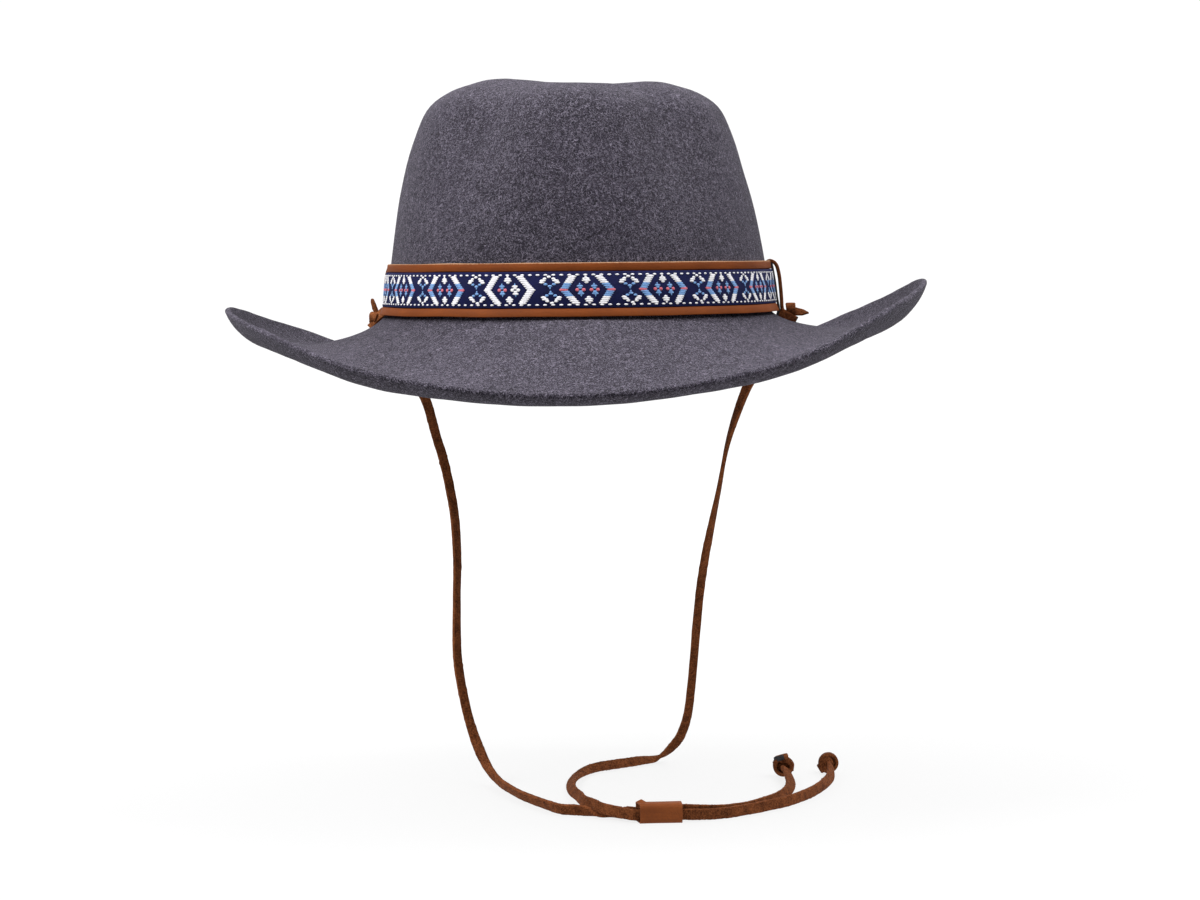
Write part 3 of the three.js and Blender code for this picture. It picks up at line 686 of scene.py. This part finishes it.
def rounded_section(corners, round_by):
    """Outline of a strap's section from its corners, each cut twice so that it reads as rounded."""
    outline = []
    count = len(corners)
    for k in range(count):
        here = Vector(corners[k])
        for other in (corners[k - 1], corners[(k + 1) % count]):
            way = Vector(other) - here
            outline.append(here + way.normalized() * min(round_by, way.length / 3))
        outline.insert(-1, (outline[-2] + outline[-1] + here) / 3)
    return outline


def strap(outline, columns, wander):
    """A closed ring round the crown with that section of heights and distances out."""

    def corner(column, row):
        angle = 2 * math.pi * (column % columns) / columns
        height, offset = outline[row % len(outline)]
        drift = noise.noise(Vector((math.cos(angle) * 3, math.sin(angle) * 3, 0))) * wander
        return beside_wall(angle, height + drift, offset) * MM

    return skin(columns, len(outline), corner)


pared, pared_slope = 0.55, 0.2
band_corners = [(band_low, band_back), (band_low, leather_thickness + foot_flare),
                (ribbon_low - pared_slope, leather_thickness + 0.2), (ribbon_low, pared),
                (ribbon_high, pared), (ribbon_high + pared_slope, leather_thickness + 0.1),
                (band_high, leather_thickness), (band_high, band_back)]
edge_rounding = 0.3
band_section = rounded_section(band_corners, edge_rounding)
strap_columns = 360
raw_leather = (0.34, 0.2, 0.115)
paint, colour, fine, relief = leather("band_leather", dark=(0.093, 0.0208, 0.0034),
                                      light=(0.186, 0.0455, 0.0078))
height = paint.part(paint.place, 2)
ragged = paint.noise(1300, 2, 0.6)
raw_edge = (height + ragged * 0.0007).between(0.02185, 0.0224)
colour = paint.mix(raw_edge, colour, raw_leather)
band_leather = paint.finish({"Base Color": colour, "Roughness": 0.55 + fine * 0.25 + raw_edge * 0.3,
                             "Normal": relief, "Specular IOR Level": 0.08})
band = strap(band_section, strap_columns, wander=0.25)
piece("band", band, [band_leather], ["leather_band"])

# Woven ribbon
# A navy ribbon with a traditional figure of brackets, lozenges and stars floated in white, light blue and
# pink. It is glued along the middle of the band; its floats are raised threads between two rows of stitches.
ribbon_back, ribbon_face = 0.5, 1.75
ribbon_section = rounded_section([(ribbon_low, ribbon_back), (ribbon_low, ribbon_face),
                                  (ribbon_high, ribbon_face), (ribbon_high, ribbon_back)], edge_rounding)
rib_count = 1480
pick_pitch, strand_pitch = 0.00038, 0.00026
weave = Paint("ribbon_weave")
round_band = weave.part(weave.surface, 0)
level = weave.part(weave.place, 2)
ribs = (round_band * (2 * math.pi * rib_count)).wave() * 0.5 + 0.5
picks = (level * (2 * math.pi / pick_pitch)).wave() * 0.5 + 0.5
worn = weave.noise(300, 3, 0.6)
shade = (ribs * 0.35 + picks * 0.25 + worn * 0.6 - 0.1).between(0.1, 0.9)
dark_navy, light_navy = (0.0018, 0.0024, 0.018), (0.0088, 0.0117, 0.075)
colour = weave.mix(shade, dark_navy, light_navy)
relief = weave.bump(ribs * 0.6 + picks * 0.4, 0.6, 0.0003)
ribbon_weave = weave.finish({"Base Color": colour, "Roughness": 0.62 + worn * 0.2, "Normal": relief,
                             "Specular IOR Level": 0.1})
ribbon = strap(ribbon_section, strap_columns, wander=0)
piece("ribbon", ribbon, [ribbon_weave], ["woven_ribbon"])


def thread(name, dark, light):
    """Loosely spun thread that lies round the hat, seen as fine level strands."""
    paint = Paint(name)
    fluff = paint.noise(1600, 3, 0.6, 1)
    strands = (paint.part(paint.place, 2) * (2 * math.pi / strand_pitch)).wave() * 0.5 + 0.5
    colour = paint.mix((fluff * 0.7 + strands * 0.3).between(0.15, 0.75), dark, light)
    relief = paint.bump(strands * 0.5 + fluff * 0.5, 0.5, 0.0002)
    return paint.finish({"Base Color": colour, "Roughness": 0.75, "Normal": relief, "Sheen Weight": 0.2})


threads = [thread("white_thread", dark=(0.5, 0.495, 0.515), light=(0.87, 0.86, 0.885)),
           thread("blue_thread", dark=(0.06, 0.16, 0.38), light=(0.16, 0.33, 0.62)),
           thread("pink_thread", dark=(0.33, 0.036, 0.07), light=(0.6, 0.13, 0.18))]
WHITE, BLUE, PINK = range(3)
figure_repeats = 18
first_row, middle_row, last_row = 0, 8, 16
row_pitch, row_skew = 0.757, 0.105
ribbon_middle = (ribbon_low + ribbon_high) / 2

# One figure, charted: row, distance from the figure's middle in millimetres, width, colour.
# Row 8 is the middle row, and the rows below it mirror the ones above. The pattern leans a little.
bracket_reach, bracket_step = 9.7, 0.6
brackets = []
for row in range(1, middle_row):
    colour = BLUE if row > 4 else WHITE
    reach = bracket_reach - bracket_step * (middle_row - row)
    brackets += [(row, -reach, 3.2, colour), (row, reach, 3.2, colour)]
tips = [(8, -bracket_reach, 3.3, PINK), (8, bracket_reach, 3.3, PINK)]
lozenges = []
for middle in (-2.9, 2.9):
    lozenges += [(5, middle, 0.5, BLUE), (6, middle, 2.6, BLUE), (7, middle, 1.6, BLUE),
                 (8, middle - 1.3, 1.6, PINK), (8, middle + 1.3, 1.6, PINK)]
sprigs = [(1, 0, 0.9, WHITE), (2, 0, 2.9, WHITE), (3, 0, 3.2, WHITE), (4, 0, 1.6, WHITE)]
star = 17.7
stars = [(1, star, 1.7, WHITE), (2, star - 1.8, 1.6, WHITE), (2, star + 1.8, 1.6, WHITE),
         (3, star - 2.6, 2.7, WHITE), (3, star + 2.6, 2.7, WHITE), (4, star - 3.2, 2.2, WHITE),
         (4, star + 3.2, 2.2, WHITE), (5, star - 1.7, 1.6, BLUE), (5, star + 1.7, 1.6, BLUE),
         (6, star, 1.9, BLUE), (7, star, 0.7, BLUE)]
figure = brackets + tips + lozenges + sprigs + stars
figure += [(last_row - row, *rest) for row, *rest in figure if row != middle_row]

arc = [0.0]
wall_angles = [2 * math.pi * k / wall_steps for k in range(wall_steps + 1)]
ring = [beside_wall(angle, ribbon_middle, ribbon_face) for angle in wall_angles]
for before, after in zip(ring, ring[1:]):
    arc.append(arc[-1] + (after - before).length)
figure_length = arc[-1] / figure_repeats
arc_front = arc[wall_steps * 3 // 4]


def angle_at(distance):
    """Angle round the crown at a distance along the ribbon from the middle of its front."""
    target = (arc_front + distance) % arc[-1]
    low, high = 0, wall_steps
    while high - low > 1:
        middle = (low + high) // 2
        low, high = (middle, high) if arc[middle] <= target else (low, middle)
    return 2 * math.pi * (low + (target - arc[low]) / (arc[high] - arc[low])) / wall_steps


float_height, middle_height, float_thickness, float_rise = 1.02, 1.4, 0.42, 0.06
float_overhang, long_float, long_float_gain = 0.1, 3, 0.35
dashes_per_figure, dash_width, dash_height = 10, 1.6, 0.75


def lay_float(bm, distance, row, width, tall):
    """One raised float of thread across the ribbon's face."""
    below = row - middle_row
    angle = angle_at(distance + below * row_skew)
    _, lean, outward = wall_frame(angle)
    along = Vector((-outward.y, outward.x, 0))
    up = (Vector((0, 0, 1)) + Vector((lean.x, lean.y, 0))).normalized()
    middle = beside_wall(angle, ribbon_middle - below * row_pitch, ribbon_face + float_rise)
    sides = Matrix((along * (width + float_overhang), outward * float_thickness, up * tall))
    matrix = sides.transposed().to_4x4() * MM
    matrix.translation = middle * MM
    matrix[3][3] = 1
    bmesh.ops.create_uvsphere(bm, u_segments=8, v_segments=5, radius=0.5, matrix=matrix)


# The first figure lies a little to the right of the front's middle. The last one, left of it, is white
# where the others are blue and pink, but for its left lozenge.
first_figure = 3.8
narrow_float = 0.5
for colour, name in ((WHITE, "white_floats"), (BLUE, "blue_floats"), (PINK, "pink_floats")):
    floats = bmesh.new()
    for repeat in range(figure_repeats):
        one_figure = bmesh.new()
        start = first_figure + repeat * figure_length
        last = repeat == figure_repeats - 1
        for row, middle, width, own in figure:
            whitened = last and width > narrow_float and (middle < -5 or 0 < middle < 12)
            if (WHITE if whitened else own) == colour:
                wide = width + (long_float_gain if width > long_float else 0)
                tall = middle_height if row == middle_row else float_height
                lay_float(one_figure, start + middle, row, wide, tall)
        if colour == WHITE:
            for k in range(dashes_per_figure):
                for row, shift in ((first_row, 0), (last_row, 0.5)):
                    distance = start + (k + shift) * figure_length / dashes_per_figure
                    lay_float(one_figure, distance, row, dash_width, dash_height)
        add_mesh(floats, one_figure)
    piece(name, floats, [threads[colour]])

# Lace ties
# On each side the lace goes up behind the band, over its top edge and down its outer face,
# and is knotted above its hole in the brim, with one cut end left standing out.


def tied_strip(side, rows, width, thickness, closed=False, widths=None):
    """A strip of a tie, along rows that are measured from the crown's foot at that tie."""
    foot, _, outward = wall_frame(math.radians(tie_angles[side]))
    sideways = outward.cross(Vector((0, 0, 1)))

    def way(out, up, across):
        return outward * out + Vector((0, 0, up)) + sideways * across

    points = [foot + way(*row[:3]) for row in rows]
    facings = [way(*row[3:]) for row in rows]
    return lace_strip(points, facings, width, thickness, closed, widths=widths, sides=16)


# Rows of a tie: millimetres out, up and sideways, then the way the flat side faces in the same terms
loop_rows = [(0.6, 1.5, 0, -1, 0, 0), (-0.6, 12, 0, -1, 0, 0), (-1.9, 20, 0, -1, 0.1, 0),
             (-1.7, 21.4, 0, -0.8, 0.8, 0), (-0.7, 22, 0, 0, 1, 0), (0.6, 21.7, 0, 0.4, 0.9, 0),
             (1.9, 20.7, 0, 0.8, 0.5, 0), (2.8, 18.8, 0, 1, 0.2, 0), (3.6, 15, 0, 1, 0.1, 0),
             (4.2, 9, 0, 1, 0.1, 0), (4.5, 4.6, 0, 1, 0, 0), (4.6, 2, 0, 1, 0, 0), (4.9, 0.2, 0, 1, 0, 0),
             (4.6, -2, 0, 1, 0, 0), (4.2, -3.6, 0, 1, 0, 0)]
inner_rows = [(-0.8, 21.8, 0, 0, 1, 0), (0, 21.2, 0, 0.7, 0.7, 0), (0.8, 17.5, 0, 1, 0.1, 0),
              (1.7, 12, 0, 1, 0.1, 0), (2.45, 6, 0, 1, 0.1, 0), (3.2, 1.5, 0, 1, 0, 0),
              (2.9, -0.8, 0, 1, 0, 0), (2.2, -3, 0, 1, 0, 0)]
right_wrap = [(4, -0.4, 1.2, -1, 0.6, 0.4), (5, -1.3, 2.4, 0, 0, 1), (7, -2.5, 2.7, 0, 0, 1),
              (9.1, -3.7, 2.4, 0, 0, 1), (10.2, -4.3, 1, 1, -0.6, 0.3), (10.2, -4.3, -1.2, 1, -0.6, -0.3),
              (8.9, -3.6, -2.4, 0, 0, -1), (6.8, -2.4, -2.6, 0, 0, -1), (4.8, -1.2, -2.4, 0, 0, -1),
              (3.9, -0.3, -1, -1, 0.6, -0.4)]
right_lobe = [(8.4, -3, 1.2, 0, 0, 1), (8.5, -0.6, 2.4, 0, 0.2, 1), (8.5, 1.4, 2.2, 0, 0.5, 1),
              (8.4, 2.6, 1, 0, 1, 0.4), (8.4, 2.8, -0.8, 0, 1, -0.3), (8.6, 1.4, -2.2, 0, 0.3, -1),
              (8.7, -1.6, -2.6, 0, 0, -1)]
right_tail = [(8.6, -0.4, 0.4, 0.1, 0.5, 1), (10.8, -0.4, 0.9, 0.1, 0.5, 1), (13.4, -0.7, 1.1, 0.1, 0.4, 1),
              (16.4, -1, 1.2, 0, 0.3, 1)]
left_wrap = [(4.8, 0.6, 1.2, -1, 0.6, 0.4), (5.8, -0.2, 2.6, 0, 0, 1), (7.6, -2, 2.9, 0, 0, 1),
             (9.6, -4, 2.6, 0, 0, 1), (10.6, -4.9, 1, 1, -0.6, 0.3), (10.6, -4.9, -1.2, 1, -0.4, -0.4),
             (9.5, -3.8, -2.4, 0.4, 0.5, -1), (7.4, -1.6, -2.7, 0.3, 0.7, -1), (5.6, 0, -2.4, 0, 0.6, -1),
             (4.7, 0.7, -1, -1, 0.6, -0.4)]
left_lobe = [(9.4, -4.6, -1.4, 0.3, -0.3, -1), (9.6, -2.8, -2.8, 0.5, 0.3, -1), (9.4, -1, -3, 0.4, 0.7, -1),
             (9.1, 0, -1.6, 0, 1, -0.4), (9, 0.1, 0.6, 0, 1, 0.3), (9.1, -1, 2.4, 0, 0.3, 1),
             (9.4, -3.8, 3, 0, 0, 1)]
left_tail = [(8, -0.8, -1.2, 0.4, 0.3, -1), (8.6, 1.2, -1.6, 0.4, 0.2, -1), (9.4, 3.6, -1.8, 0.4, 0.2, -1),
             (10, 5.6, -1.8, 0.4, 0.2, -1), (10.3, 6.7, -1.8, 0.4, 0.2, -1)]
left_end = [(9.4, -4.6, -1.4, 0.4, 0.4, -1), (10.6, -5.6, -1.8, 0.4, 0.4, -1),
            (11.4, -6.4, -2, 0.4, 0.4, -1)]
# A paler copy of the lace suede for the left knot: painted light where the key light falls on it.
lit_lace_suede = suede("lit_lace_suede", dark=(0.08, 0.024, 0.0085), light=(0.3, 0.104, 0.037))

for side in ("right", "left"):
    loop = tied_strip(side, loop_rows, width=4.4, thickness=1.6)
    inner = tied_strip(side, inner_rows, width=4.2, thickness=1.1)
    # The inner strand takes the near-black material: painted shade on the strand inside the loop.
    for face in inner.faces:
        face.material_index = 1
    add_mesh(loop, inner)
    piece(f"tie_loop_{side}", loop, [lace_suede, dark_end_and_shade.material], [f"lace_loop_{side}"])
right_tie = tied_strip("right", right_wrap, width=4.1, thickness=1.2, closed=True)
add_mesh(right_tie, tied_strip("right", right_lobe, width=4.2, thickness=1.4))
add_mesh(right_tie, tied_strip("right", right_tail, width=3.6, thickness=1.3, widths=[1, 1, 0.8, 0.12]))
piece("tie_knot_right", right_tie, [lace_suede], ["lace_knot_right"])
left_tie = tied_strip("left", left_wrap, width=4.4, thickness=1.4, closed=True)
add_mesh(left_tie, tied_strip("left", left_lobe, width=4.2, thickness=1.4))
add_mesh(left_tie, tied_strip("left", left_tail, width=2.1, thickness=1.3, widths=[1, 1, 1, 0.75, 0.1]))
add_mesh(left_tie, tied_strip("left", left_end, width=3.4, thickness=1.6))
piece("tie_knot_left", left_tie, [lit_lace_suede], ["lace_knot_left"])

# Studio
# A white paper sweep that the laces lie on, flat in front and curved up behind, in soft light: a key light
# from the upper left, a weaker fill from the right, a faint one from above and one that whitens the back.
table_top = -0.211
sweep_width, sweep_front, sweep_radius, sweep_wall = 12, -4, 1.5, 3
bend_start = 2.5
flat_share, bend_share = 0.5, 0.4
sweep = bmesh.new()
bmesh.ops.create_grid(sweep, x_segments=1, y_segments=40, size=0.5)
for corner in sweep.verts:
    along = corner.co.y + 0.5
    x = corner.co.x * sweep_width
    if along < flat_share:
        y, rise = sweep_front + (bend_start - sweep_front) * along / flat_share, 0
    elif along < flat_share + bend_share:
        turn = (along - flat_share) / bend_share * math.pi / 2
        y, rise = bend_start + sweep_radius * math.sin(turn), sweep_radius * (1 - math.cos(turn))
    else:
        wall_share = (along - flat_share - bend_share) / (1 - flat_share - bend_share)
        y, rise = bend_start + sweep_radius, sweep_radius + sweep_wall * wall_share
    corner.co = Vector((x, y, table_top + rise))
bmesh.ops.recalc_face_normals(sweep, faces=sweep.faces)
sweep_mesh = bpy.data.meshes.new("sweep")
sweep.to_mesh(sweep_mesh)
sweep.free()
sweep_mesh.shade_smooth()
paper = Paint("white_paper")
sweep_mesh.materials.append(paper.finish({"Base Color": (0.06, 0.06, 0.06), "Roughness": 0.9,
                                          "Emission Color": (1, 1, 1), "Emission Strength": 0.82}))
backdrop = bpy.data.objects.new("sweep", sweep_mesh)
bpy.context.scene.collection.objects.link(backdrop)


def soft_light(name, place, target, size, power):
    """A round softbox that looks at a target."""
    lamp = bpy.data.lights.new(name, "AREA")
    lamp.shape = "DISK"
    lamp.size = size
    lamp.energy = power
    light = bpy.data.objects.new(name, lamp)
    bpy.context.scene.collection.objects.link(light)
    light.location = place
    light.rotation_euler = (Vector(target) - Vector(place)).to_track_quat("-Z", "Y").to_euler()


hat_middle = (0, 0, 0)
soft_light("key", (-1.35, -0.38, 1.7), hat_middle, size=1.9, power=92)
soft_light("fill", (1.35, -0.15, 1.8), hat_middle, size=2, power=74)
soft_light("ceiling", (0, -0.15, 2.3), hat_middle, size=1.5, power=24)
soft_light("backdrop_light", (0, 1, 2.2), (0, 4, 0.9), size=2, power=260)
world = bpy.data.worlds.new("studio")
bpy.context.scene.world = world
world.use_nodes = True
world.node_tree.nodes["Background"].inputs["Color"].default_value = (1, 1, 1, 1)
world.node_tree.nodes["Background"].inputs["Strength"].default_value = 0.2
bpy.context.scene.view_settings.view_transform = "Standard"

bpy.context.view_layer.update()
